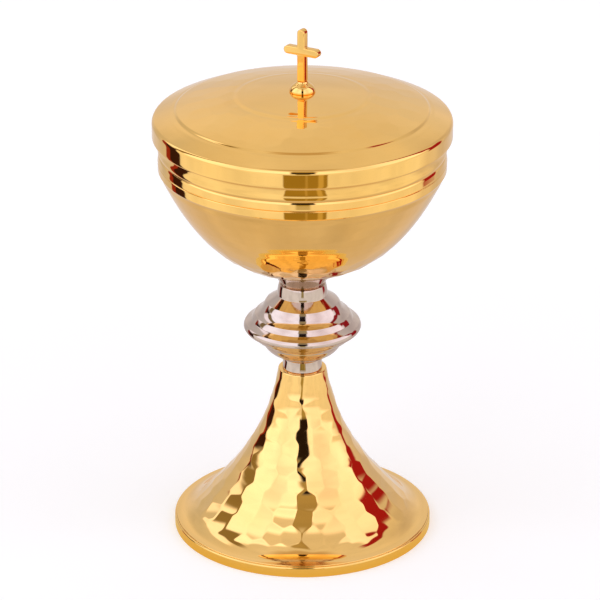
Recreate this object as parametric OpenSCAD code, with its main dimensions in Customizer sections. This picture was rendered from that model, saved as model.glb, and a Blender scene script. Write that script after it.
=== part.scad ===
// Ciborium: a footed metal cup with a lift-off lid and a cross finial.
// Millimetres, +Z up. The origin is the centre of the face that the foot rests on.

/* [Sheet metal] */
// Wall thickness of the spun shells
wall = 1.1; // [0.9:0.1:1.2]
// Radial gap between the lid's locating ring and the bowl's mouth
lid_play = 0.4; // [0.3:0.1:0.6]
// Width of the small chamfers that meet at the line between bowl and lid
line_chamfer = 0.3; // [0.2:0.1:0.4]

/* [Foot] */
// Radius of the foot at its rim
foot_r = 55.1; // [53:0.1:57]
// Height of the upright band round the rim
rim_h = 4.6; // [4.2:0.1:5]
// Height of the foot's flat top
foot_h = 72.7; // [70:0.1:75]
// Radius of the foot's flat top
foot_top_r = 9.6; // [9.2:0.1:9.8]

/* [Stem] */
// Radius of the lower collar
lower_collar_r = 8.5; // [8.2:0.1:9]
// Height of the lower collar
lower_collar_h = 5.1; // [4.5:0.1:6]
// Height of the waisted collar under the bowl
upper_collar_h = 6.2; // [5.8:0.1:6.6]
// Radius of the upper collar at its narrow lower end
waist_r = 9.3; // [9:0.1:9.6]

/* [Bowl] */
// Outside radius of the bowl at its mouth
mouth_r = 60.2; // [58:0.1:62]
// Height of the bowl from its seat to its mouth
bowl_h = 49.7; // [48:0.1:52]
// Radius of the bowl's flat seat on the collar
seat_r = 14; // [13.8:0.1:14.5]
// Height of the upright band at the bowl's mouth
mouth_band_h = 3.4; // [3:0.1:4]

/* [Lid] */
// Greatest radius of the lid, at its rim wall
lid_r = 62.5; // [61.5:0.1:64]
// Height of the lid from its lower edge to the top of its rim wall
lid_rim_h = 18.8; // [17.5:0.1:19.5]
// Height of the lid from its lower edge to its middle
lid_h = 29.7; // [29:0.1:30.5]
// Radius of the step where the sloped border meets the dome
step_r = 52.5; // [50:0.1:54]
// Length of the locating ring below the lid's lower edge
ring_drop = 4.2; // [3:0.1:4.2]

/* [Finial] */
// Radius of the round button under the cross
button_r = 5.4; // [5.2:0.1:5.8]
// Height of the button
button_h = 4.6; // [4.2:0.1:5]
// Height of the cross above the button
cross_h = 22.6; // [20:0.1:25]
// Length of the cross's bar
cross_w = 16.2; // [14:0.1:18]
// Width and thickness of the cross's arms
arm_w = 3.4; // [2.8:0.1:3.6]
// How far the cross is turned about the upright axis
cross_turn = -29.7; // [-90:0.1:90]

/* [Hidden] */
$fn = 120;

gold = "gold";
nickel = "silver";
steel = "lightslategray";

// Steps in one cubic curve, and in one small bow
curve_steps = 24;
bow_steps = 6;

// M6 tie rod and its fasteners
rod_r = 2.95;
rod_thread_r = 3;
rod_clear_r = 3.2;
washer_r = 8;
washer_h = 1.5;
lock_washer_r = 6;
lock_washer_h = 1.5;
nut_across = 10;
nut_h = 5;
rod_tail = 3.5;
boss_r = 7;
boss_floor = 1.2;

// M4 stud that holds the finial
stud_r = 1.95;
stud_thread_r = 2;
stud_clear_r = 2.15;
stud_bite = 3.2;
stud_tail = 1.2;
small_washer_r = 4.5;
small_washer_h = 0.8;
small_nut_across = 7;
small_nut_h = 3.2;
lid_seat_r = 6;

// Knop: radius and height above its lower end. Each ridge runs from its foot to its top.
knop_foot_r = 8.9;
knop_low_reeds = [
    [[12.9, 2.6], [17.4, 8.2]],
    [[17.9, 8.6], [22.0, 12.0]],
    [[22.4, 12.3], [24.9, 14.3]]
];
knop_high_ridges = [
    [[24.9, 14.3], [24.1, 16.2]],
    [[21.5, 17.8], [20.1, 20.1]],
    [[16.8, 23.1], [15.3, 25.7]],
    [[10.7, 28.8], [9.9, 33.7]]
];
knop_seam_h = 14.3;
knop_h = 33.7;
reed_rise = 0.6;
ridge_rises = [0.2, 0.08, 0.08, 0.15];
cove_rises = [-0.08, -0.35, -0.08];
foot_flare_rise = -0.25;
spacer_r = 5;

// Heights of the stack
collar_z = foot_h;
knop_z = collar_z + lower_collar_h;
neck_z = knop_z + knop_h;
bowl_z = neck_z + upper_collar_h;
mouth_z = bowl_z + bowl_h;
lid_top_z = mouth_z + lid_h;
button_z = lid_top_z;
cross_z = button_z + button_h;
under_foot_top_z = foot_h - wall;

// ---- Curve helpers: every outline is traced upwards, with the axis on its left ----

// Point at fraction t of the cubic curve from c[0] to c[3], drawn towards c[1] and c[2]
function curve_point(c, t) =
    pow(1 - t, 3) * c[0] + 3 * t * pow(1 - t, 2) * c[1]
    + 3 * t * t * (1 - t) * c[2] + t * t * t * c[3];
function curve(c, steps = curve_steps) = [for (i = [0:steps]) curve_point(c, i / steps)];

// Bow from a to b that stands out by rise at its middle
function bow(a, b, rise, steps = bow_steps) =
    let (d = b - a, out = [d[1], -d[0]] / norm(d))
    [for (i = [0:steps]) let (t = i / steps) a + d * t + out * 4 * rise * t * (1 - t)];

// Quarter round from angle a0 to a1 about a centre
function arc(centre, r, a0, a1, steps = bow_steps) =
    [for (i = [0:steps])
        let (a = a0 + (a1 - a0) * i / steps) centre + r * [cos(a), sin(a)]];

// Direction of outline p at its point i, and the outline moved inwards by t
function direction(p, i) =
    let (d = p[min(i + 1, len(p) - 1)] - p[max(i - 1, 0)]) d / norm(d);
function inward(p, t) =
    [for (i = [0:len(p) - 1]) let (d = direction(p, i)) p[i] + t * [-d[1], d[0]]];
function backwards(p) = [for (i = [len(p) - 1:-1:0]) p[i]];
function raise(p, z) = [for (q = p) q + [0, z]];
// All points of p but its first
function tail(p) = [for (i = [1:len(p) - 1]) p[i]];
// Points of p between heights low and high, and those nearer the axis than r
function between(p, low, high) = [for (q = p) if (q[1] > low && q[1] < high) q];
function nearer(p, r) = [for (q = p) if (q[0] < r) q];

module turned(points) {
    rotate_extrude() polygon(points);
}

module ring(outer_r, inner_r, h, z) {
    translate([0, 0, z]) difference() {
        cylinder(r = outer_r, h = h);
        translate([0, 0, -1]) cylinder(r = inner_r, h = h + 2);
    }
}

module hex_nut(across, bore_r, h, z) {
    translate([0, 0, z]) difference() {
        cylinder(d = across / cos(30), h = h, $fn = 6);
        translate([0, 0, -1]) cylinder(r = bore_r, h = h + 2);
    }
}

// ---- Foot ----

// A gently sloped flange from the rim ring's rebate, a bend, and a trumpet up to the shoulder
flange_r = foot_r - 0.8;
flange_z = rim_h + 0.4;
flange_end = [foot_r - 2.7, rim_h + 0.6];
flange_corner = [foot_r - 6.65, rim_h + 1.1];
trumpet_start = [foot_r - 11.7, rim_h + 6.23];
trumpet_pulls = [[25.75, 28.75], [14.9, 45.6]];
shoulder_r = 0.7;
trumpet = concat(
    [[flange_r, flange_z]],
    curve([
        flange_end, (flange_end + 2 * flange_corner) / 3,
        (trumpet_start + 2 * flange_corner) / 3, trumpet_start
    ], 10),
    tail(curve([
        trumpet_start, trumpet_pulls[0], trumpet_pulls[1],
        [foot_top_r + shoulder_r, foot_h - shoulder_r]
    ]))
);
trumpet_inside = between(inward(trumpet, wall), 0, foot_h - 2 * wall);

// The rebate in the rim ring that the flange sits in
rebate_z = flange_z - wall * 1.25;
rim_inner_r = foot_r - 2.4;

module foot_rim_ring() {
    round_r = 0.7;
    color(gold) turned(concat(
        [[rim_inner_r, 0], [foot_r - 0.2, 0], [foot_r, 0.2]],
        arc([foot_r - round_r, rim_h - round_r], round_r, 0, 90),
        [[flange_r + 0.05, rim_h], [flange_r + 0.05, rebate_z], [rim_inner_r, rebate_z]]
    ));
}

module foot_shell() {
    color(gold) turned(concat(
        [[flange_r, rebate_z]],
        trumpet,
        arc([foot_top_r, foot_h - shoulder_r], shoulder_r, 0, 90),
        [[rod_clear_r, foot_h], [rod_clear_r, foot_h - wall], [foot_top_r - 0.5, foot_h - wall]],
        backwards(nearer(trumpet_inside, rim_inner_r)),
        [[rim_inner_r, rebate_z]]
    ));
}

module foot_washer() {
    color(steel) ring(washer_r, rod_clear_r, washer_h, under_foot_top_z - washer_h);
}

module lock_washer() {
    z = under_foot_top_z - washer_h - lock_washer_h;
    color(steel) ring(lock_washer_r, rod_clear_r, lock_washer_h, z);
}

module tie_nut() {
    z = under_foot_top_z - washer_h - lock_washer_h - nut_h;
    color(steel) hex_nut(nut_across, rod_thread_r, nut_h, z);
}

module tie_rod() {
    low_z = under_foot_top_z - washer_h - lock_washer_h - nut_h - rod_tail;
    top_z = bowl_z - boss_floor;
    chamfer = 0.6;
    color(steel) turned([
        [0, low_z], [rod_r - chamfer, low_z], [rod_r, low_z + chamfer],
        [rod_r, top_z - chamfer], [rod_r - chamfer, top_z], [0, top_z]
    ]);
}

// ---- Stem ----

module lower_collar() {
    edge = 0.3;
    color(nickel) turned(concat(
        [[rod_clear_r, collar_z], [lower_collar_r - edge, collar_z]],
        bow([lower_collar_r, collar_z + edge], [lower_collar_r, knop_z - edge], -0.2),
        [[lower_collar_r - edge, knop_z], [rod_clear_r, knop_z]]
    ));
}

// Lower half: a flared foot, then three reeds up to the widest line
function knop_low_outline() = concat(
    bow([knop_foot_r, 0], knop_low_reeds[0][0], foot_flare_rise),
    [for (reed = knop_low_reeds) each bow(reed[0], reed[1], reed_rise)]
);

// Upper half: four stepped ridges with a shallow cove above each of the first three
function knop_high_outline() = [
    for (i = [0:len(knop_high_ridges) - 1]) each concat(
        bow(knop_high_ridges[i][0], knop_high_ridges[i][1], ridge_rises[i]),
        i == len(knop_high_ridges) - 1 ? []
            : bow(knop_high_ridges[i][1], knop_high_ridges[i + 1][0], cove_rises[i])
    )
];

// The inside follows the line of the ridges' feet, one wall in
function knop_inner_point(p) = p + wall * [-1.3, p[1] > knop_seam_h ? -0.3 : 0.5];

module knop_lower_shell() {
    color(nickel) turned(raise(concat(
        [[rod_clear_r, 0]],
        knop_low_outline(),
        [[knop_inner_point(knop_low_reeds[2][1])[0], knop_seam_h]],
        [knop_inner_point(knop_low_reeds[1][0]), knop_inner_point(knop_low_reeds[0][0])],
        [[knop_foot_r - 0.6, wall], [rod_clear_r, wall]]
    ), knop_z));
}

module knop_upper_shell() {
    color(nickel) turned(raise(concat(
        [[knop_inner_point(knop_low_reeds[2][1])[0], knop_seam_h]],
        knop_high_outline(),
        [[rod_clear_r, knop_h], [rod_clear_r, knop_h - wall], [spacer_r + 3.2, knop_h - wall]],
        [knop_inner_point(knop_high_ridges[3][0]), knop_inner_point(knop_high_ridges[2][0]),
            knop_inner_point(knop_high_ridges[1][0])]
    ), knop_z));
}

module knop_spacer_tube() {
    color(steel) ring(spacer_r, rod_clear_r, knop_h - 2 * wall, knop_z + wall);
}

module upper_collar() {
    edge = 0.25;
    top_r = seat_r - 0.4;
    color(nickel) turned(concat(
        [[boss_r, neck_z], [waist_r - edge, neck_z]],
        curve([
            [waist_r, neck_z + edge], [waist_r + 0.8, neck_z + 1.9],
            [top_r - 1.7, neck_z + 4], [top_r, bowl_z - edge]
        ], 12),
        [[top_r, bowl_z], [boss_r, bowl_z]]
    ));
}

// ---- Bowl ----

module bowl_boss() {
    z = neck_z;
    color(steel) difference() {
        translate([0, 0, z]) cylinder(r = boss_r, h = upper_collar_h);
        translate([0, 0, z - 1]) cylinder(r = rod_thread_r, h = upper_collar_h - boss_floor + 1);
    }
}

// Points that the bowl's curve is drawn towards, from its seat and from its mouth
seat_pull = [10.2, 6];
mouth_pull = [-18.4, 6.2];
bowl_side = curve([
    [seat_r, 0], [seat_r, 0] + seat_pull, [mouth_r, 0] + mouth_pull,
    [mouth_r - 0.2, bowl_h - mouth_band_h - 0.2]
]);
bowl_side_inside = between(inward(bowl_side, wall), wall, bowl_h - mouth_band_h - 0.4);

module bowl_shell() {
    color(gold) turned(raise(concat(
        [[0, 0]],
        bowl_side,
        [[mouth_r, bowl_h - mouth_band_h], [mouth_r, bowl_h - line_chamfer]],
        [[mouth_r - line_chamfer, bowl_h], [mouth_r - wall, bowl_h]],
        [[mouth_r - wall, bowl_h - mouth_band_h]],
        backwards(bowl_side_inside),
        [[0, wall]]
    ), bowl_z));
}

// ---- Lid ----

// Outside of the lid, upwards from its lower edge: a flared band, a groove, a narrower wall,
// the rim wall with its rounded edge, the sloped border, a step, and the dome with its inner line
band_h = 3.3;
band_waist = 0.3;
groove_h = 0.9;
groove_depth = 0.3;
step_under_h = 9.4;
wall_foot_h = 11.2;
ring_top_h = 3;
edge_r = 2.2;
edge_end = 68;
step_h = 0.4;
step_z = lid_h - 7.7;
inner_step_r = 27.6;
inner_step_z = lid_h - 1.95;
inner_step_h = 0.12;

lid_side = concat(
    [[mouth_r + 0.1, line_chamfer], [mouth_r - band_waist, band_h]],
    [[mouth_r - band_waist - groove_depth, band_h + groove_h / 2]],
    [[mouth_r - band_waist, band_h + groove_h]],
    curve([
        [mouth_r, step_under_h], [mouth_r + 0.1, wall_foot_h - 0.6],
        [lid_r, wall_foot_h - 1.4], [lid_r, wall_foot_h]
    ], 10),
    arc([lid_r - edge_r, lid_rim_h - edge_r], edge_r, 0, edge_end, 10)
);
border_start = lid_side[len(lid_side) - 1];
lid_top = concat(
    tail(bow(border_start, [step_r + 0.3, step_z], 0.1)),
    bow([step_r, step_z + step_h], [inner_step_r + 0.4, inner_step_z], 0.42, 12),
    bow([inner_step_r, inner_step_z + inner_step_h], [lid_seat_r, lid_h], 0.28, 8)
);

module lid_shell() {
    inner_side = [
        [mouth_r - wall, ring_top_h], [mouth_r - wall - 0.4, ring_top_h + 0.6],
        [mouth_r - wall, step_under_h + 0.8], [lid_r - wall, wall_foot_h + 0.6],
        [lid_r - wall, lid_rim_h - edge_r], [lid_r - edge_r, lid_rim_h - wall - 0.3]
    ];
    inner_top = raise(bow([step_r, step_z + step_h], [lid_seat_r + 1, lid_h], 2, 12), -wall - 0.3);
    color(gold) turned(raise(concat(
        [[mouth_r - wall, 0], [mouth_r - line_chamfer, 0]],
        lid_side,
        lid_top,
        [[stud_clear_r, lid_h], [stud_clear_r, lid_h - wall - 0.3]],
        backwards(inner_top),
        backwards(inner_side)
    ), mouth_z));
}

module lid_locating_ring() {
    outer_r = mouth_r - wall;
    drop_r = outer_r - lid_play;
    ring_wall = 1.2;
    lead = 0.6;
    color(gold) turned(raise([
        [drop_r - ring_wall, -ring_drop], [drop_r - lead, -ring_drop],
        [drop_r, -ring_drop + 2 * lead], [drop_r, 0.4], [outer_r, 0.8],
        [outer_r, ring_top_h], [outer_r - ring_wall, ring_top_h], [drop_r - ring_wall, 0.4]
    ], mouth_z));
}

// ---- Finial ----

module finial_button() {
    color(gold) turned(raise(concat(
        [[stud_thread_r, 0], [button_r - 0.3, 0], [button_r, 0.3]],
        bow([button_r, 0.8], [button_r - 2.1, 3.4], 0.35),
        bow([button_r - 2.3, 3.6], [arm_w / 2 + 0.5, button_h], -0.1),
        [[0, button_h], [0, stud_bite], [stud_thread_r, stud_bite]]
    ), button_z));
}

module cross_outline() {
    bar_z = cross_h * 0.575;
    half = arm_w / 2;
    translate([-half, 0]) square([arm_w, cross_h - half]);
    translate([0, cross_h - half]) circle(r = half);
    translate([-cross_w / 2 + half, bar_z - half]) square([cross_w - arm_w, arm_w]);
    for (side = [-1, 1]) translate([side * (cross_w / 2 - half), bar_z]) circle(r = half);
}

module finial_cross() {
    color(gold) translate([0, 0, cross_z]) rotate([0, 0, cross_turn]) rotate([90, 0, 0])
        linear_extrude(height = arm_w, center = true) cross_outline();
}

stud_top_z = button_z + stud_bite;
stud_seat_z = button_z - wall - 0.3;

module finial_stud() {
    low_z = stud_seat_z - small_washer_h - small_nut_h - stud_tail;
    chamfer = 0.4;
    color(steel) turned([
        [0, low_z], [stud_r - chamfer, low_z], [stud_r, low_z + chamfer],
        [stud_r, stud_top_z - chamfer], [stud_r - chamfer, stud_top_z], [0, stud_top_z]
    ]);
}

module finial_washer() {
    color(steel) ring(small_washer_r, stud_clear_r, small_washer_h, stud_seat_z - small_washer_h);
}

module finial_nut() {
    z = stud_seat_z - small_washer_h - small_nut_h;
    color(steel) hex_nut(small_nut_across, stud_thread_r, small_nut_h, z);
}

foot_rim_ring();
foot_shell();
foot_washer();
lock_washer();
tie_nut();
tie_rod();
lower_collar();
knop_lower_shell();
knop_spacer_tube();
knop_upper_shell();
upper_collar();
bowl_boss();
bowl_shell();
lid_shell();
lid_locating_ring();
finial_button();
finial_cross();
finial_stud();
finial_washer();
finial_nut();
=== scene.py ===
"""A ciborium: hammered gold foot, ridged nickel knop, gold bowl, lift-off lid and cross finial."""

import math

import bmesh
import bpy
import numpy as np
from mathutils import Matrix, Vector


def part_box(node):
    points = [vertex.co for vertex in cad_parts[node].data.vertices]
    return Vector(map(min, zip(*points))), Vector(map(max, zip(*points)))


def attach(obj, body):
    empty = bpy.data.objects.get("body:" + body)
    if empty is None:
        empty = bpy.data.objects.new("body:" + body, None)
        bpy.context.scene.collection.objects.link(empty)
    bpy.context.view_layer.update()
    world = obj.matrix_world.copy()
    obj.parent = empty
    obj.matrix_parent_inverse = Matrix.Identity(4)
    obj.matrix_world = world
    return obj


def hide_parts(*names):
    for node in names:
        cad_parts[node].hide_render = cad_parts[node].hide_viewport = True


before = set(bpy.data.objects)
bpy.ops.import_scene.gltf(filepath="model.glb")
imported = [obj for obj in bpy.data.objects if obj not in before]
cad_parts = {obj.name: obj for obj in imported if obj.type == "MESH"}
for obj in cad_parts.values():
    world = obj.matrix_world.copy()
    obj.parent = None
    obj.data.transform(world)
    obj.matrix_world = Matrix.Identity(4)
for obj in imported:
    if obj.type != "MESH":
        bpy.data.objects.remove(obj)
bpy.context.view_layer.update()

MM = 0.001


# ---- Outlines: taken from the CAD solids, smoothed between their corners ----

# A point of an outline is a corner if the outline turns by more than CORNER_ANGLE there, or by more than
# CREASE_ANGLE and CREASE_RATIO times what it turns beside it. A curve also ends where the next stretch is
# LENGTH_RATIO times as long or as short.
CORNER_ANGLE = math.radians(40)
CREASE_ANGLE = math.radians(5)
CREASE_RATIO = 1.9
LENGTH_RATIO = 3.5
# Points closer than MERGE are one point, and points within SAME are exactly equal
MERGE = 3e-6
SAME = 1e-7
TINY = 1e-12


def cad_outline(node):
    """The (radius, height) outline of a turned CAD node, in order, with its metal on the left."""
    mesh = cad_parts[node].data
    co = np.array([v.co for v in mesh.vertices])
    rz = np.stack([np.hypot(co[:, 0], co[:, 1]), co[:, 2]], 1)
    rounded_rz = np.round(rz / SAME)
    _, first, label = np.unique(rounded_rz, axis=0, return_index=True, return_inverse=True)
    points, merged = [], []
    for p in rz[first]:
        near = [k for k, q in enumerate(points) if np.abs(p - q).max() < MERGE]
        if not near:
            points.append(p)
        merged.append(near[0] if near else len(points) - 1)
    label = np.array(merged)[label.ravel()]
    links = {k: set() for k in range(len(points))}
    for e in mesh.edges:
        a, b = label[e.vertices[0]], label[e.vertices[1]]
        if a != b:
            links[a].add(b)
            links[b].add(a)
    ends = [k for k in links if len(links[k]) == 1]
    order = [ends[0] if ends else 0]
    while True:
        onward = [k for k in links[order[-1]] if k not in order]
        if not onward:
            break
        order.append(onward[0])
    line = [np.array(points[k]) for k in order]
    if ends and line[0][0] > MERGE:
        line.insert(0, np.array([0, line[0][1]]))
    if ends and line[-1][0] > MERGE:
        line.append(np.array([0, line[-1][1]]))
    area = sum(a[0] * b[1] - b[0] * a[1] for a, b in zip(line, line[1:] + line[:1]))
    line = np.array(line if area > 0 else line[::-1])
    return line, not ends


def unit(v):
    return v / max(np.linalg.norm(v), TINY)


def turn(a, b, c):
    """Angle by which the path a, b, c turns at b."""
    u, v = unit(b - a), unit(c - b)
    return math.atan2(u[0] * v[1] - u[1] * v[0], float(np.dot(u, v)))


def spline(p, step, start=None, end=None):
    """Smooth curve through the points p, with a point every step or so, and set end directions."""
    h = np.linalg.norm(np.diff(p, axis=0), axis=1)
    d = np.diff(p, axis=0) / h[:, None]
    n = len(p)
    m = np.zeros((n, n))
    rhs = np.zeros((n, 2))
    m[0, 0] = m[-1, -1] = 1
    if n == 2:
        first = last = d[0]
    else:
        first = d[0] + (d[0] - d[1]) * h[0] / (h[0] + h[1])
        last = d[-1] + (d[-1] - d[-2]) * h[-1] / (h[-1] + h[-2])
    rhs[0] = first if start is None else start
    rhs[-1] = last if end is None else end
    for i in range(1, n - 1):
        m[i, i - 1], m[i, i], m[i, i + 1] = h[i], 2 * (h[i - 1] + h[i]), h[i - 1]
        rhs[i] = 3 * (h[i] * d[i - 1] + h[i - 1] * d[i])
    tangent = np.linalg.solve(m, rhs)
    out = []
    for i in range(n - 1):
        count = max(1, math.ceil(h[i] / step))
        for t in np.arange(count) / count:
            out.append((1 + 2 * t) * (1 - t) ** 2 * p[i] + t * t * (3 - 2 * t) * p[i + 1]
                       + h[i] * t * (1 - t) * ((1 - t) * tangent[i] - t * tangent[i + 1]))
    return out + [p[-1]]


def smooth_outline(node, step, fillet=0.15 * MM):
    """The node's outline with its arcs made smooth and its corners slightly rounded."""
    p, closed = cad_outline(node)
    n = len(p)
    if closed:
        sharpest = int(np.argmax(np.abs([turn(p[i - 1], p[i], p[(i + 1) % n]) for i in range(n)])))
        p = np.concatenate([p[sharpest:], p[:sharpest + 1]])
        n += 1
    bend = np.zeros(n)
    length = np.linalg.norm(np.diff(p, axis=0), axis=1)
    for i in range(1, n - 1):
        bend[i] = abs(turn(p[i - 1], p[i], p[i + 1]))
    corner = np.zeros(n, bool)
    corner[0] = corner[-1] = True
    cut = corner.copy()
    for i in range(1, n - 1):
        around = max(bend[i - 1], bend[i + 1])
        crease = bend[i] > CREASE_ANGLE and bend[i] > CREASE_RATIO * around
        corner[i] = bend[i] > CORNER_ANGLE or crease
        ratio = length[i] / length[i - 1]
        cut[i] = corner[i] or ratio > LENGTH_RATIO or ratio < 1 / LENGTH_RATIO
    marks = [i for i in range(n) if cut[i]]
    path, sharp = [], []
    for a, b in zip(marks, marks[1:]):
        straight_before = not corner[a] and a > 0 and cut[a - 1]
        straight_after = not corner[b] and b < n - 1 and cut[b + 1]
        start = unit(p[a] - p[a - 1]) if straight_before and b - a > 1 else None
        end = unit(p[b + 1] - p[b]) if straight_after and b - a > 1 else None
        piece = spline(p[a:b + 1], step, start, end)
        path += piece[:-1]
        sharp += [bool(corner[a])] + [False] * (len(piece) - 2)
    path.append(p[-1])
    sharp.append(True)
    if closed:
        path, sharp = path[:-1], sharp[:-1]
    return rounded(path, sharp, closed, fillet), closed


# Share of the stretch beside a corner that its round may take up, and the corner that is nearly straight
ROUND_SHARE = 0.45
SHALLOW = math.radians(75)


def rounded(path, sharp, closed, radius):
    """The path with a small round in place of each sharp corner."""
    n = len(path)
    out = []
    for i, p in enumerate(path):
        if not sharp[i] or (not closed and i in (0, n - 1)):
            out.append(p)
            continue
        a, b = path[i - 1], path[(i + 1) % n]
        u, v = unit(a - p), unit(b - p)
        half = 0.5 * (math.pi - abs(turn(a, p, b)))
        room = ROUND_SHARE * min(np.linalg.norm(a - p), np.linalg.norm(b - p))
        trim = min(radius / max(math.tan(half), MERGE), room)
        start, end = p + u * trim, p + v * trim
        count = 3 if half > SHALLOW else 5
        for t in np.linspace(0, 1, count):
            out.append((1 - t) ** 2 * start + 2 * t * (1 - t) * p + t * t * end)
    return out


def dense(path, closed, step):
    """The path with extra points, so that no stretch is longer than step."""
    out = []
    pairs = zip(path, path[1:] + path[:1]) if closed else zip(path, path[1:])
    for a, b in pairs:
        count = max(1, math.ceil(np.linalg.norm(b - a) / step))
        out += [a + (b - a) * t for t in np.arange(count) / count]
    return out if closed else out + [path[-1]]


def supported(path, closed, gap=0.12 * MM):
    """The path with a point close to each end of its long stretches, which keeps flat faces flat."""
    out = []
    pairs = list(zip(path, path[1:] + path[:1])) if closed else list(zip(path, path[1:]))
    for a, b in pairs:
        out.append(a)
        long_enough = np.linalg.norm(b - a) > 6 * gap
        if long_enough:
            out += [a + unit(b - a) * gap, b - unit(b - a) * gap]
    return out if closed else out + [path[-1]]


# ---- Turning an outline into a mesh ----

def lathe(name, path, closed, segments, relief=None):
    """A mesh turned from the path. If there's a relief, it gives how far each point is moved outwards."""
    path = np.array(path)
    rings = len(path)
    angle = np.arange(segments) * 2 * math.pi / segments
    pole = path[:, 0] < MERGE
    before, after = np.roll(path, 1, 0), np.roll(path, -1, 0)
    if not closed:
        before[0], after[-1] = path[0], path[-1]
    run = after - before
    run /= np.maximum(np.linalg.norm(run, axis=1), TINY)[:, None]
    out = np.stack([run[:, 1], -run[:, 0]], 1)
    along = np.concatenate([[0], np.cumsum(np.linalg.norm(np.diff(path, axis=0), axis=1))])
    radius = np.repeat(path[:, :1], segments, 1)
    height = np.repeat(path[:, 1:], segments, 1)
    if relief is not None:
        move = relief(radius, height, np.repeat(angle[None], rings, 0), along[:, None], out)
        radius = radius + move * out[:, :1]
        height = height + move * out[:, 1:]
    co = np.stack([radius * np.cos(angle), radius * np.sin(angle), height], 2)
    index, verts = np.zeros((rings, segments), int), []
    for i in range(rings):
        if pole[i]:
            index[i] = len(verts)
            verts.append((0, 0, float(path[i, 1])))
        else:
            index[i] = np.arange(segments) + len(verts)
            verts.extend(map(tuple, co[i].tolist()))
    faces = []
    for i in range(rings if closed else rings - 1):
        low, high = index[i], index[(i + 1) % rings]
        low_next, high_next = np.roll(low, -1), np.roll(high, -1)
        if pole[i] and pole[(i + 1) % rings]:
            continue
        if pole[i]:
            faces += list(zip(low.tolist(), high_next.tolist(), high.tolist()))
        elif pole[(i + 1) % rings]:
            faces += list(zip(low.tolist(), low_next.tolist(), high.tolist()))
        else:
            faces += list(zip(low.tolist(), low_next.tolist(), high_next.tolist(), high.tolist()))
    mesh = bpy.data.meshes.new(name)
    mesh.from_pydata(verts, [], faces)
    mesh.shade_smooth()
    obj = bpy.data.objects.new(name, mesh)
    bpy.context.scene.collection.objects.link(obj)
    return obj


def place(obj, node, body, material):
    """Give the piece its material and slot, and put it on its body in place of the CAD node."""
    obj.data.materials.append(material)
    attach(obj, body)
    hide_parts(node)
    return obj


def turned_piece(name, node, body, material, step=0.8 * MM, segments=256, fillet=0.15 * MM,
                 relief=None, finest=None):
    """A piece turned from the node's smoothed outline, with points finest apart if it has relief."""
    path, closed = smooth_outline(node, step, fillet)
    path = dense(path, closed, finest) if finest else supported(path, closed)
    return place(lathe(name, path, closed, segments, relief), node, body, material)


# ---- Hammer marks ----

def smoothstep(x, low, high):
    """0 at low and beyond, 1 at high and beyond, and a smooth step between."""
    t = np.clip((x - low) / (high - low), 0, 1)
    return t * t * (3 - 2 * t)


# In shares of a mark's size: the gap between rows, the reach of a mark, and how far marks stray
# round the axis and along the outline
ROW_GAP = 0.86
REACH = 1.8
STRAY_ROUND = 0.28
STRAY_ALONG = 0.22
# How deep marks sink at most, in shares of size and slope, and the range of their curving
SINK = 0.018 / 0.11
ROUNDEST, FLATTEST = 0.85, 1.3
# Fewest marks in a row, the most that a ridge stands up, and a bound that keeps exp within its range
FEWEST = 5
HIGHEST = 0.3 * MM
EXPONENT_LIMIT = 60


def hammered(radius, angle, along, first, last, pitch, slope, seed, blend):
    """Height of rows of overlapping hammer marks between two distances along the outline.
    Each mark is a shallow bowl. pitch(along) is the marks' size, slope the steepness at their edges, and
    blend how far the ridges between them are softened."""
    rng = np.random.default_rng(seed)
    total = np.zeros(radius.shape)
    row = first
    while row < last:
        size = pitch(row)
        near = np.abs(along[:, 0] - row) < REACH * size
        k = int(np.argmin(np.abs(along[:, 0] - row)))
        count = max(FEWEST, round(2 * math.pi * radius[k, 0] / size))
        shift_angle = rng.uniform(0, 1) + rng.uniform(-STRAY_ROUND, STRAY_ROUND, count)
        shift_along = rng.uniform(-STRAY_ALONG, STRAY_ALONG, count) * size
        depth = rng.uniform(0, SINK, count) * size * slope
        curve = size / (2 * slope) * rng.uniform(ROUNDEST, FLATTEST, count)
        r, a = radius[near], angle[near]
        turn_step = 2 * math.pi / count
        middle = np.round(a / turn_step).astype(int)
        for j in (-1, 0, 1, 2):
            pick = (middle + j) % count
            gap = a - (middle + j) * turn_step - (shift_angle[pick] - 0.5) * turn_step
            gap = (gap + math.pi) % (2 * math.pi) - math.pi
            away = (gap * r) ** 2 + (along[near] - row - shift_along[pick]) ** 2
            bowl = away / (2 * curve[pick]) - depth[pick]
            total[near] += np.exp(np.clip(-bowl / blend, -EXPONENT_LIMIT, EXPONENT_LIMIT))
        row += size * ROW_GAP
    level = -blend * np.log(np.maximum(total, math.exp(-EXPONENT_LIMIT)))
    return np.minimum(level, HIGHEST)


def centred(marks, zone):
    """The marks within the zone, shifted so that they don't move the surface as a whole."""
    mean = (marks * zone).sum() / max(zone.sum(), TINY)
    return (marks - mean) * zone


# ---- Materials ----

def new_material(name):
    mat = bpy.data.materials.new(name)
    mat.use_nodes = True
    mat.node_tree.nodes.clear()
    return mat, mat.node_tree.nodes, mat.node_tree.links


def noise(nodes, links, vector, scale, detail=3, rough=0.5):
    n = nodes.new("ShaderNodeTexNoise")
    n.inputs["Scale"].default_value = scale
    n.inputs["Detail"].default_value = detail
    n.inputs["Roughness"].default_value = rough
    links.new(vector, n.inputs["Vector"])
    return n.outputs["Fac"]


def spread(nodes, links, value, low, high, out_low, out_high, ease="LINEAR"):
    """The value, with its range from low to high mapped to the range from out_low to out_high."""
    m = nodes.new("ShaderNodeMapRange")
    m.interpolation_type = ease
    for key, v in zip(("From Min", "From Max", "To Min", "To Max"), (low, high, out_low, out_high)):
        m.inputs[key].default_value = v
    links.new(value, m.inputs["Value"])
    return m.outputs["Result"]


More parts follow.
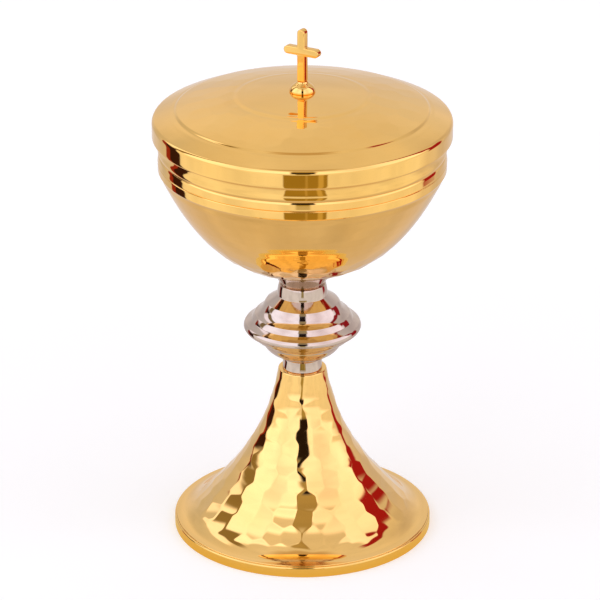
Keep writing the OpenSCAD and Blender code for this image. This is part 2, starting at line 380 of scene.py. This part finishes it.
def stretched(nodes, links, vector, scale):
    m = nodes.new("ShaderNodeMapping")
    m.inputs["Scale"].default_value = scale
    links.new(vector, m.inputs["Vector"])
    return m.outputs["Vector"]


def math_node(nodes, links, operation, a, b=None):
    m = nodes.new("ShaderNodeMath")
    m.operation = operation
    for socket, value in zip(m.inputs, (a, b)):
        if value is None:
            continue
        if isinstance(value, (int, float)):
            socket.default_value = value
        else:
            links.new(value, socket)
    return m.outputs[0]


# Scales of the noise, per metre: clouds in the colour, smears, scratches and turning lines
CLOUD_SCALE = 38
SMEAR_SCALE = 75
SCRATCH_SCALE = (900, 120, 2400)
LINE_SCALE = (6, 6, 2600)
LINE_DEPTH = 0.02 * MM


def metal(name, color, deep, roughness, lines=0.0):
    """Polished metal: clouded colour, smears and fine scratches in its roughness, turning lines as bump."""
    mat, nodes, links = new_material(name)
    shader = nodes.new("ShaderNodeBsdfPrincipled")
    result = nodes.new("ShaderNodeOutputMaterial")
    links.new(shader.outputs[0], result.inputs[0])
    shader.inputs["Metallic"].default_value = 1.0
    where = nodes.new("ShaderNodeTexCoord").outputs["Object"]
    cloud = noise(nodes, links, where, CLOUD_SCALE, 4, 0.6)
    tint = nodes.new("ShaderNodeMix")
    tint.data_type = "RGBA"
    tint.inputs["A"].default_value = (*color, 1)
    tint.inputs["B"].default_value = (*deep, 1)
    links.new(spread(nodes, links, cloud, 0.35, 0.75, 0, 1), tint.inputs["Factor"])
    links.new(tint.outputs["Result"], shader.inputs["Base Color"])
    smear = noise(nodes, links, where, SMEAR_SCALE, 5, 0.65)
    smear = spread(nodes, links, smear, 0.45, 0.8, roughness[0], roughness[1])
    scratch = noise(nodes, links, stretched(nodes, links, where, SCRATCH_SCALE), 1, 2)
    scratch = spread(nodes, links, scratch, 0.66, 0.8, 0, roughness[1] * 0.5)
    links.new(math_node(nodes, links, "ADD", smear, scratch), shader.inputs["Roughness"])
    if lines:
        rings = stretched(nodes, links, where, LINE_SCALE)
        bump = nodes.new("ShaderNodeBump")
        bump.inputs["Strength"].default_value = lines
        bump.inputs["Distance"].default_value = LINE_DEPTH
        links.new(noise(nodes, links, rings, 1, 2), bump.inputs["Height"])
        links.new(bump.outputs["Normal"], shader.inputs["Normal"])
    return mat


# Each metal's colour, and the colour of the clouds in it
GOLD_PALE = (1.0, 0.65, 0.225)
GOLD_PALE_DEEP = (1.0, 0.62, 0.195)
GOLD = (1.0, 0.635, 0.195)
GOLD_DEEP = (1.0, 0.61, 0.17)
NICKEL = (0.67, 0.55, 0.46)
NICKEL_DEEP = (0.63, 0.51, 0.42)
ZINC = (0.62, 0.62, 0.61)
ZINC_DEEP = (0.52, 0.52, 0.50)

gold = metal("gold_mirror", GOLD, GOLD_DEEP, (0.035, 0.075))
gold_hammered = metal("gold_hammer_marked", GOLD_PALE, GOLD_PALE_DEEP, (0.035, 0.08))
gold_satin = metal("gold_satin", GOLD, GOLD_DEEP, (0.18, 0.28), lines=0.25)
nickel = metal("nickel_turned", NICKEL, NICKEL_DEEP, (0.05, 0.10), lines=0.12)
steel = metal("steel_zinc", ZINC, ZINC_DEEP, (0.22, 0.38), lines=0.2)


# ---- Foot ----

foot_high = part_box("foot_shell")[1]
FOOT_R = foot_high.x
FOOT_SEED = 11
HAMMER_SLOPE = 0.095
HAMMER_BLEND = 0.034 * MM
# Size of the marks where the outline of the outside begins, and how much smaller they are where it ends
HAMMER_START_SIZE = 9.4 * MM
HAMMER_SHRINK = 2.6 * MM
# First and last row, from the two ends of the outside
HAMMER_FIRST = 8 * MM
HAMMER_LAST = 1 * MM
# The marks fade in below the shoulder, and fade out where the trumpet bends into the flange
HAMMER_TOP_Z = foot_high.z - 0.5 * MM
HAMMER_FULL_Z = foot_high.z - 5.5 * MM
BEND_R = 0.83 * FOOT_R
HAMMER_FULL_R = BEND_R - 1.5 * MM
HAMMER_END_R = BEND_R + 2.5 * MM
# The foot's outside faces at least this much outwards and upwards, as parts of a unit direction
FOOT_FACES_OUT = 0.2
FOOT_FACES_UP = -0.2


def foot_relief(radius, height, angle, along, out):
    """Hammer marks on the outside of the trumpet, from its top to where the flange begins."""
    outside = (out[:, 0] > FOOT_FACES_OUT) & (out[:, 1] > FOOT_FACES_UP)
    rows = np.where(outside)[0]
    start, stop = along[rows[0], 0], along[rows[-1], 0]
    shrink = HAMMER_SHRINK / (stop - start)
    marks = hammered(radius, angle, along, start + HAMMER_FIRST, stop - HAMMER_LAST,
                     lambda s: HAMMER_START_SIZE - shrink * (s - start),
                     HAMMER_SLOPE, FOOT_SEED, HAMMER_BLEND)
    zone = smoothstep(height, HAMMER_TOP_Z, HAMMER_FULL_Z)
    zone = zone * smoothstep(radius, HAMMER_END_R, HAMMER_FULL_R)
    return centred(marks, zone * outside[:, None])


turned_piece("foot_hammered", "foot_shell", "vessel", gold_hammered,
             step=0.6 * MM, segments=480, finest=0.6 * MM, relief=foot_relief, fillet=0.25 * MM)
turned_piece("foot_rim", "foot_rim_ring", "vessel", gold, fillet=0.2 * MM)

# ---- Stem ----

FINE_STEP = 0.3 * MM
turned_piece("stem_collar", "lower_collar", "vessel", nickel)
turned_piece("knop_under", "knop_lower_shell", "vessel", nickel,
             step=FINE_STEP, fillet=0.25 * MM)
turned_piece("knop_over", "knop_upper_shell", "vessel", nickel,
             step=FINE_STEP, fillet=0.2 * MM)
turned_piece("stem_neck", "upper_collar", "vessel", nickel, step=FINE_STEP)

# ---- Bowl and lid ----

bowl_low, bowl_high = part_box("bowl_shell")
BOWL_MARKED_Z = bowl_low.z + 8 * MM
BOWL_SMOOTH_Z = bowl_low.z + 0.5 * (bowl_high.z - bowl_low.z)
BOWL_SEAT_R = 14 * MM
BOWL_MARKED_R = 18 * MM
BOWL_MARK = 7.5 * MM
BOWL_SLOPE = 0.11
BOWL_BLEND = 0.03 * MM
BOWL_SEED = 3
# The bowl's outside faces outwards, and at most this much upwards
BOWL_FACES_UP = 0.05


def bowl_relief(radius, height, angle, along, out):
    """Soft planishing on the outside of the bowl, fading out below its mouth."""
    outside = (out[:, 1] < BOWL_FACES_UP) & (out[:, 0] > 0)
    marks = hammered(radius, angle, along, 0, along[-1, 0], lambda s: BOWL_MARK,
                     BOWL_SLOPE, BOWL_SEED, BOWL_BLEND)
    zone = smoothstep(height, BOWL_SMOOTH_Z, BOWL_MARKED_Z)
    zone = zone * smoothstep(radius, BOWL_SEAT_R, BOWL_MARKED_R)
    return centred(marks, zone * outside[:, None])


turned_piece("cup", "bowl_shell", "vessel", gold, segments=384, finest=0.8 * MM,
             relief=bowl_relief)

# The marks on the lid fade in outside its inner line and fade out inside its step
LID_LINE_R = 25 * MM
LID_MARKED_R = (30 * MM, 48 * MM)
LID_STEP_R = 51.5 * MM
LID_MARK = 9 * MM
LID_SLOPE = 0.026
LID_BLEND = 0.006 * MM
LID_SEED = 5
# The lid's top faces at least this much upwards
LID_FACES_UP = 0.8


def lid_relief(radius, height, angle, along, out):
    """Soft planishing on the dome, between its inner line and the step."""
    top = (out[:, 1] > LID_FACES_UP)[:, None]
    marks = hammered(radius, angle, along, 0, along[-1, 0], lambda s: LID_MARK,
                     LID_SLOPE, LID_SEED, LID_BLEND)
    zone = smoothstep(radius, LID_LINE_R, LID_MARKED_R[0])
    zone = zone * smoothstep(radius, LID_STEP_R, LID_MARKED_R[1])
    return centred(marks, zone * top)


turned_piece("lid_dome", "lid_shell", "lid", gold, segments=384, finest=0.9 * MM,
             relief=lid_relief, fillet=0.25 * MM)
turned_piece("lid_inner_ring", "lid_locating_ring", "lid", gold_satin)

# ---- Finial ----

turned_piece("finial_base", "finial_button", "lid", gold, step=0.25 * MM)

# The cross: how far it is turned, its arms' thickness, its bar's length, and the bar's place in its height
CROSS_TURN = math.radians(-29.7)
ARM = 3.4 * MM
CROSS_WIDE = 16.2 * MM
BAR_SHARE = 0.575
END_POINTS = 17
EDGE_ROUND = 0.45 * MM
cross_low, cross_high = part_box("finial_cross")


def cross_piece():
    """A plain cross with round-ended arms and softened edges."""
    height = cross_high.z - cross_low.z
    reach = (CROSS_WIDE - ARM) / 2
    half = ARM / 2
    bar = height * BAR_SHARE
    corner = [(-half, 0), (half, 0), (half, bar - half)]

    def end(cx, cy, first):
        return [(cx + half * math.cos(first + t), cy + half * math.sin(first + t))
                for t in np.linspace(0, math.pi, END_POINTS)]

    outline = corner + end(reach, bar, -math.pi / 2) + [(half, bar + half)]
    outline += end(0, height - half, 0) + [(-half, bar + half)]
    outline += end(-reach, bar, math.pi / 2) + [(-half, bar - half)]
    bm = bmesh.new()
    face = bm.faces.new([bm.verts.new((x, -half, y)) for x, y in outline])
    back = bmesh.ops.extrude_face_region(bm, geom=[face])
    moved = [g for g in back["geom"] if isinstance(g, bmesh.types.BMVert)]
    bmesh.ops.translate(bm, verts=moved, vec=(0, ARM, 0))
    bmesh.ops.recalc_face_normals(bm, faces=bm.faces)
    mesh = bpy.data.meshes.new("finial_cross_cast")
    bm.to_mesh(mesh)
    bm.free()
    mesh.transform(Matrix.Translation((0, 0, cross_low.z)) @ Matrix.Rotation(CROSS_TURN, 4, "Z"))
    obj = bpy.data.objects.new("finial_cross_cast", mesh)
    bpy.context.scene.collection.objects.link(obj)
    bevel = obj.modifiers.new("edges", "BEVEL")
    bevel.width = EDGE_ROUND
    bevel.segments = 4
    bevel.limit_method = "ANGLE"
    bevel.angle_limit = math.radians(35)
    mesh.shade_smooth()
    return obj


place(cross_piece(), "finial_cross", "lid", gold)

# ---- Fasteners: their CAD shapes are right, and get a better metal ----

FASTENERS = ("foot_washer", "lock_washer", "tie_nut", "tie_rod", "knop_spacer_tube", "bowl_boss",
             "finial_stud", "finial_washer", "finial_nut")
for fastener in FASTENERS:
    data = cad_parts[fastener].data
    data.materials.clear()
    data.materials.append(steel)


# ---- Studio ----

def band(nodes, links, value, low, high, soft):
    """1 where value is between low and high, falling to 0 over soft on either side."""
    rise = spread(nodes, links, value, low - soft, low + soft, 0, 1, "SMOOTHSTEP")
    fall = spread(nodes, links, value, high - soft, high + soft, 1, 0, "SMOOTHSTEP")
    return math_node(nodes, links, "MULTIPLY", rise, fall)


REAR_WALL = (0.78, 0.735, 0.74)
# What hangs or stands in front of the rear wall's cloth, each over what comes before it: the range of its
# direction round from the front (+ to the right), the range up from the horizon, and its light. The third
# number of a range is how soft its edges are; all are in degrees.
TENT = [
    ("table", (-181, 181, 1), (-95, -30, 14), (0.68, 0.61, 0.60)),
    ("rear corner at the left", (-152, -128, 10), (-28, 45, 12), (0.64, 0.62, 0.65)),
    ("rear corner at the right", (128, 152, 10), (-28, 45, 12), (0.65, 0.60, 0.62)),
    ("left panel, low", (-107, 10, 6), (-40, 8, 14), (1.00, 0.98, 0.98)),
    ("right panel, low", (0, 104, 8), (-40, 8, 14), (0.96, 0.93, 0.91)),
    ("left panel", (-104, 0, 9), (6, 56, 3), (1.42, 1.45, 1.74)),
    ("left panel, middle", (-62, -34, 18), (10, 50, 12), (1.20, 1.15, 1.35)),
    ("right panel", (0, 104, 9), (6, 56, 3), (1.36, 1.30, 1.52)),
    ("right panel, middle", (34, 62, 18), (10, 50, 12), (1.06, 0.96, 1.10)),
    ("open top", (-181, 181, 1), (76, 95, 5), (0.56, 0.44, 0.32)),
    ("table's dark edge", (-14.5, 19, 0.8), (-46, -14, 2), (0.37, 0.25, 0.045)),
    ("gap's light stripe", (12, 16, 0.8), (-46, -14, 2), (0.62, 0.46, 0.16)),
    ("gap's middle stripe", (2.2, 4, 0.6), (-46, -14, 2), (0.5, 0.36, 0.12)),
    ("gap's lower part", (-5, 6, 1.5), (-7, 12, 2), (0.42, 0.34, 0.14)),
    ("gap's upper part", (-11, 13, 1.5), (38, 66, 4), (0.42, 0.33, 0.17)),
    ("camera and its user", (-9, 10, 1.5), (9, 40, 3), (0.02, 0.012, 0.01)),
    ("far strip of the left panel", (-128, -112, 1.5), (15, 54, 3), (1.28, 1.24, 1.45)),
    ("olive part of the gap", (-113, -100, 2), (10, 60, 4), (0.28, 0.21, 0.10)),
    ("dark gap at the left", (-124, -107, 1), (-34, 10, 3), (0.04, 0.014, 0.01)),
    ("red edge of the gap", (-127.5, -121, 1), (-34, 12, 3), (0.30, 0.03, 0.015)),
    ("red gap at the right", (108, 126, 1.5), (-14, 20, 3), (0.36, 0.014, 0.02)),
    ("red gap's upper part", (102, 116, 1.5), (17, 60, 3), (0.36, 0.014, 0.02)),
]
CLOTH_SCALE = 2.2
CLOTH_LIGHT = (0.88, 1.1)


def studio_world():
    """A pale light tent with bright panels at both sides of the front, a dark gap between them, and one at
    each side. Where the camera looks past the object it sees plain white."""
    world = bpy.data.worlds.new("light_tent")
    bpy.context.scene.world = world
    world.use_nodes = True
    nodes, links = world.node_tree.nodes, world.node_tree.links
    nodes.clear()
    split = nodes.new("ShaderNodeSeparateXYZ")
    direction = nodes.new("ShaderNodeTexCoord").outputs["Generated"]
    links.new(direction, split.inputs[0])
    back = math_node(nodes, links, "MULTIPLY", split.outputs["Y"], -1)
    around = math_node(nodes, links, "ARCTAN2", split.outputs["X"], back)
    around = math_node(nodes, links, "MULTIPLY", around, 180 / math.pi)
    up = math_node(nodes, links, "ARCSINE", split.outputs["Z"])
    up = math_node(nodes, links, "MULTIPLY", up, 180 / math.pi)
    base = nodes.new("ShaderNodeRGB")
    base.outputs[0].default_value = (*REAR_WALL, 1)
    color = base.outputs[0]
    for name, round_range, up_range, rgb in TENT:
        mask = math_node(nodes, links, "MULTIPLY", band(nodes, links, around, *round_range),
                         band(nodes, links, up, *up_range))
        mix = nodes.new("ShaderNodeMix")
        mix.data_type = "RGBA"
        mix.label = name
        links.new(mask, mix.inputs["Factor"])
        links.new(color, mix.inputs["A"])
        mix.inputs["B"].default_value = (*rgb, 1)
        color = mix.outputs["Result"]
    tent = nodes.new("ShaderNodeBackground")
    links.new(color, tent.inputs["Color"])
    cloth = noise(nodes, links, direction, CLOTH_SCALE, 4, 0.55)
    links.new(spread(nodes, links, cloth, 0.3, 0.7, *CLOTH_LIGHT), tent.inputs["Strength"])
    plain = nodes.new("ShaderNodeBackground")
    plain.inputs["Color"].default_value = (1, 1, 1, 1)
    choose = nodes.new("ShaderNodeMixShader")
    links.new(nodes.new("ShaderNodeLightPath").outputs["Is Camera Ray"], choose.inputs[0])
    links.new(tent.outputs[0], choose.inputs[1])
    links.new(plain.outputs[0], choose.inputs[2])
    links.new(choose.outputs[0], nodes.new("ShaderNodeOutputWorld").inputs[0])


studio_world()

FLOOR_R = 1.6
# The near disc's radius, and the radius from which paper is pale: up to the foot's edge it is painted with
# warm light bounced off the gold
NEAR_R = 0.063
GOLD_BOUNCE_R = 0.085
PAPER = (0.78, 0.81, 0.79, 1)
# Painted light: the warm colour of the paper round the foot stands for light bounced off the gold
PAINTED_GOLD_BOUNCE = (0.72, 0.53, 0.10, 1)
TOOTH_SCALE = 900
TOOTH_DEPTH = 0.1 * MM


def disc(name, radius, material):
    """A flat round piece of floor, which is no part of the object."""
    bm = bmesh.new()
    bmesh.ops.create_circle(bm, cap_ends=True, segments=128, radius=radius)
    mesh = bpy.data.meshes.new(name)
    bm.to_mesh(mesh)
    bm.free()
    mesh.materials.append(material)
    obj = bpy.data.objects.new(name, mesh)
    bpy.context.scene.collection.objects.link(obj)
    return obj


def paper(name, glow, warm):
    """Paper with a fine tooth, a little lit from below: painted with warm gold-bounced light close round
    the foot, pale further out.
    """
    mat, nodes, links = new_material(name)
    shader = nodes.new("ShaderNodeBsdfPrincipled")
    shader.inputs["Roughness"].default_value = 0.9
    shader.inputs["Emission Color"].default_value = (1, 1, 1, 1)
    shader.inputs["Emission Strength"].default_value = glow
    where = nodes.new("ShaderNodeTexCoord").outputs["Object"]
    length = nodes.new("ShaderNodeVectorMath")
    length.operation = "LENGTH"
    links.new(where, length.inputs[0])
    tint = nodes.new("ShaderNodeMix")
    tint.data_type = "RGBA"
    # Close round the foot the tint is painted warm light bounced off the gold, fading to plain paper
    # further out
    tint.inputs["A"].default_value = warm
    tint.inputs["B"].default_value = PAPER
    links.new(spread(nodes, links, length.outputs["Value"], FOOT_R, GOLD_BOUNCE_R, 0, 1), tint.inputs["Factor"])
    links.new(tint.outputs["Result"], shader.inputs["Base Color"])
    tooth = nodes.new("ShaderNodeBump")
    tooth.inputs["Strength"].default_value = 0.1
    tooth.inputs["Distance"].default_value = TOOTH_DEPTH
    links.new(noise(nodes, links, where, TOOTH_SCALE, 2), tooth.inputs["Height"])
    links.new(tooth.outputs["Normal"], shader.inputs["Normal"])
    links.new(shader.outputs[0], nodes.new("ShaderNodeOutputMaterial").inputs[0])
    return mat


# The metal reflects the light tent's own table instead of the floor, and close to the foot a disc of paper
# that only reflections see, painted with the warm light that the gold would bounce onto it
floor = disc("floor", FLOOR_R, paper("floor_paper", 0.33, PAPER))
floor.visible_glossy = False
near_floor = disc("floor_near", NEAR_R, paper("floor_painted_gold_bounce", 0.12, PAINTED_GOLD_BOUNCE))
near_floor.visible_camera = False
near_floor.visible_diffuse = False
near_floor.visible_shadow = False
near_floor.location.z = -0.1 * MM

# ---- Camera: looks down at the object's middle, a hair to its left ----

CAMERA_PITCH = math.radians(23.2)
CAMERA_DISTANCE = 1.6
AIM = Vector((0, 0, 103.3 * MM))
LENS = 227.07
SHIFT = -0.004
camera = bpy.data.objects.new("camera", bpy.data.cameras.new("camera"))
camera.location = AIM + CAMERA_DISTANCE * Vector((0, -math.cos(CAMERA_PITCH), math.sin(CAMERA_PITCH)))
camera.rotation_euler = (math.pi / 2 - CAMERA_PITCH, 0, 0)
camera.data.sensor_width = 36
camera.data.lens = LENS
camera.data.shift_x = SHIFT
camera.data.clip_start = 0.1
bpy.context.scene.collection.objects.link(camera)
bpy.context.scene.camera = camera
bpy.context.scene.view_settings.view_transform = "Standard"
